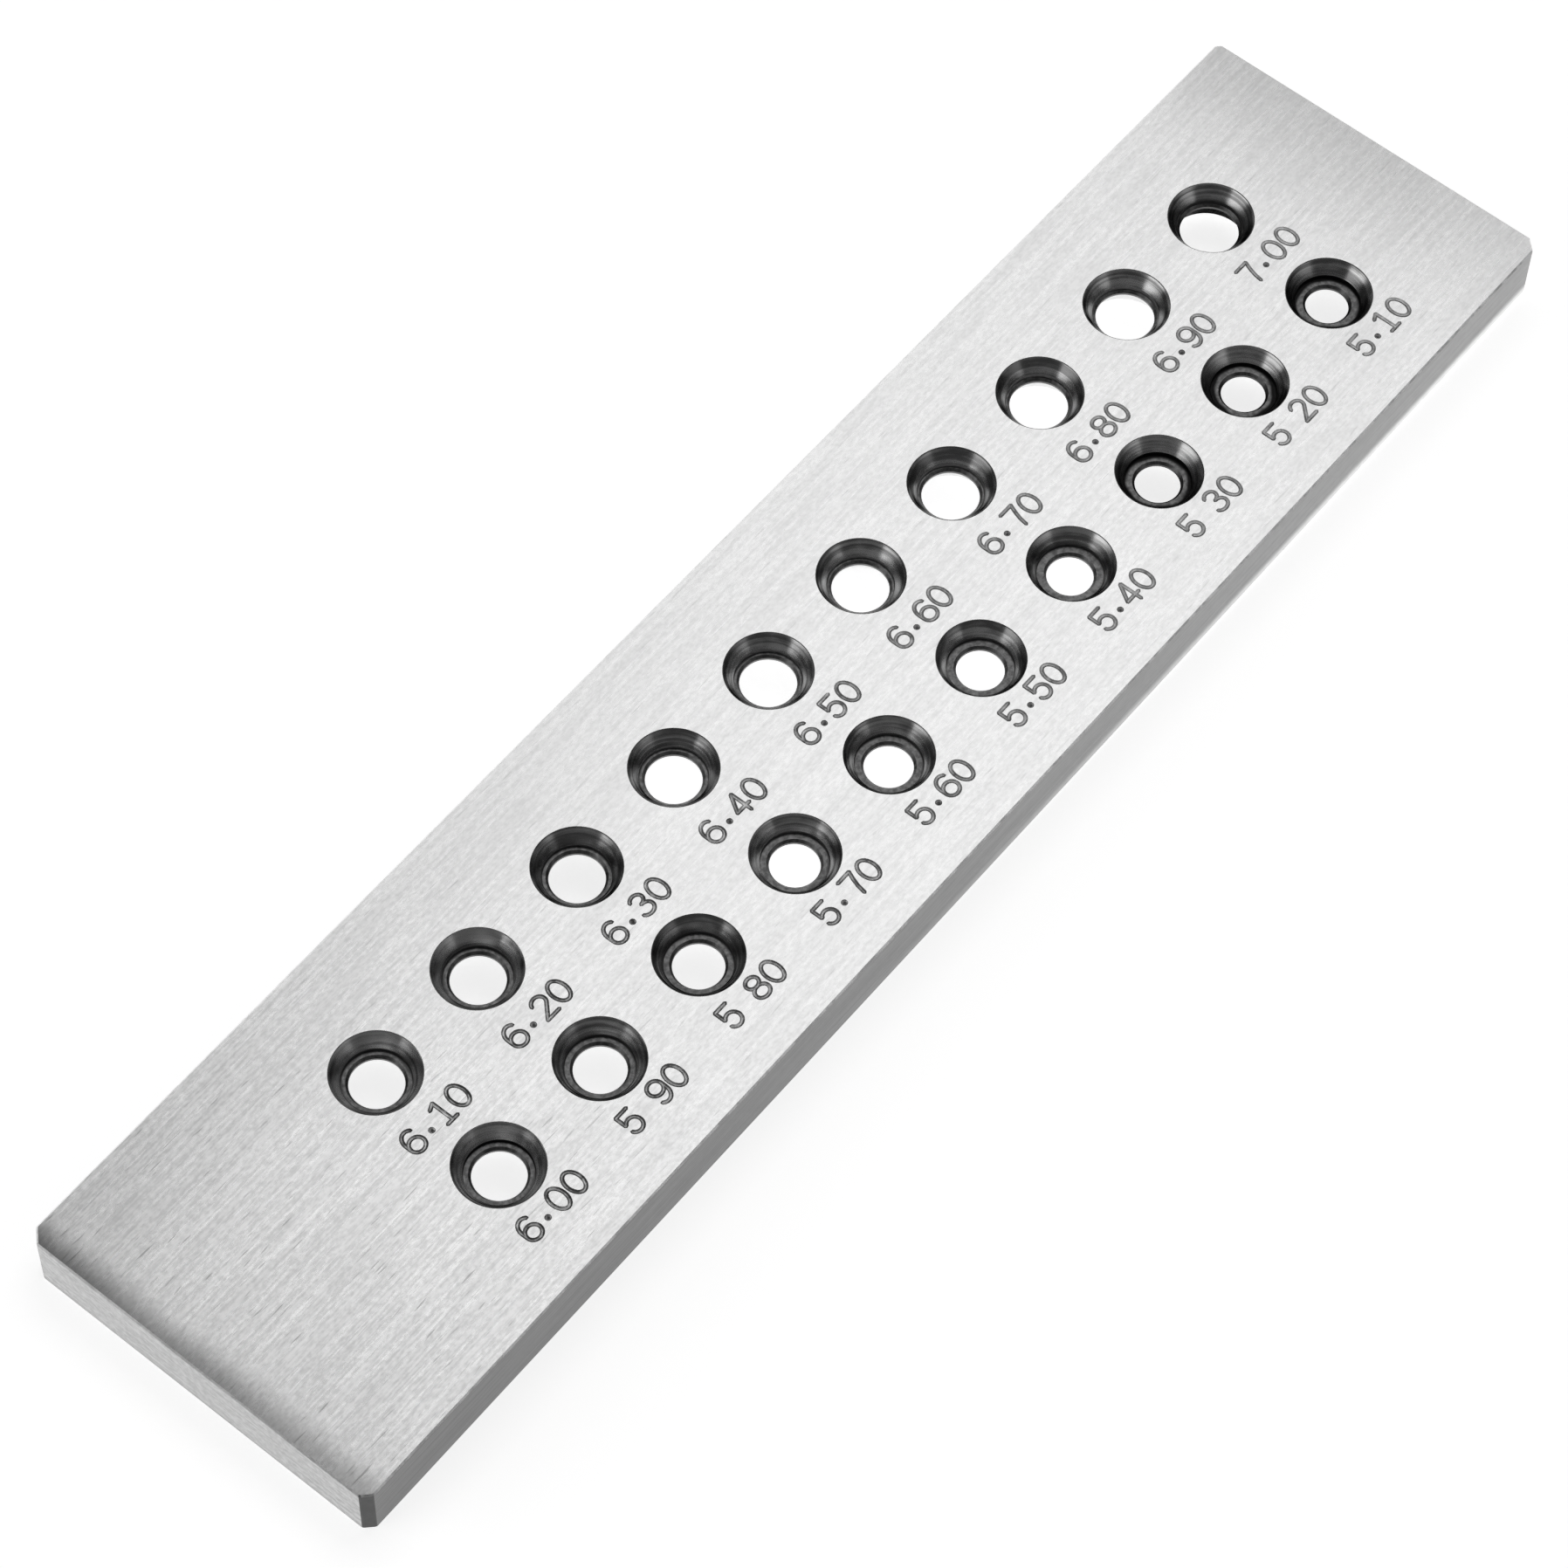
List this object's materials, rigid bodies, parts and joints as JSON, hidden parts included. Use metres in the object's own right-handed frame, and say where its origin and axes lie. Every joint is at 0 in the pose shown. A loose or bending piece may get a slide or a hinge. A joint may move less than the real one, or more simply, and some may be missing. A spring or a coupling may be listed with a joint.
{
  "type": "wire draw plate",
  "caption": "Flat ground steel plate with two rows of countersunk holes, each lined by a pressed-in carbide die for drawing round wire down to size.",
  "frame": {"origin": "middle of the plate's back face", "axes": "+X along the plate from the blank grip end to the far end, +Y across it from the row of small dies to the row of large dies, +Z out of the numbered front face, the way the wire leaves"},
  "size_m": [0.208, 0.0472, 0.008],
  "materials": {
    "steel": "hardened steel, finely ground along its length",
    "carbide": "sintered tungsten carbide, polished dark grey"
  },
  "bodies": {
    "root": {"draw_plate": "steel", "die_01": "carbide", "die_02": "carbide", "die_03": "carbide", "die_04": "carbide", "die_05": "carbide", "die_06": "carbide", "die_07": "carbide", "die_08": "carbide", "die_09": "carbide", "die_10": "carbide", "die_11": "carbide", "die_12": "carbide", "die_13": "carbide", "die_14": "carbide", "die_15": "carbide", "die_16": "carbide", "die_17": "carbide", "die_18": "carbide", "die_19": "carbide", "die_20": "carbide"}
  },
  "joints": []
}
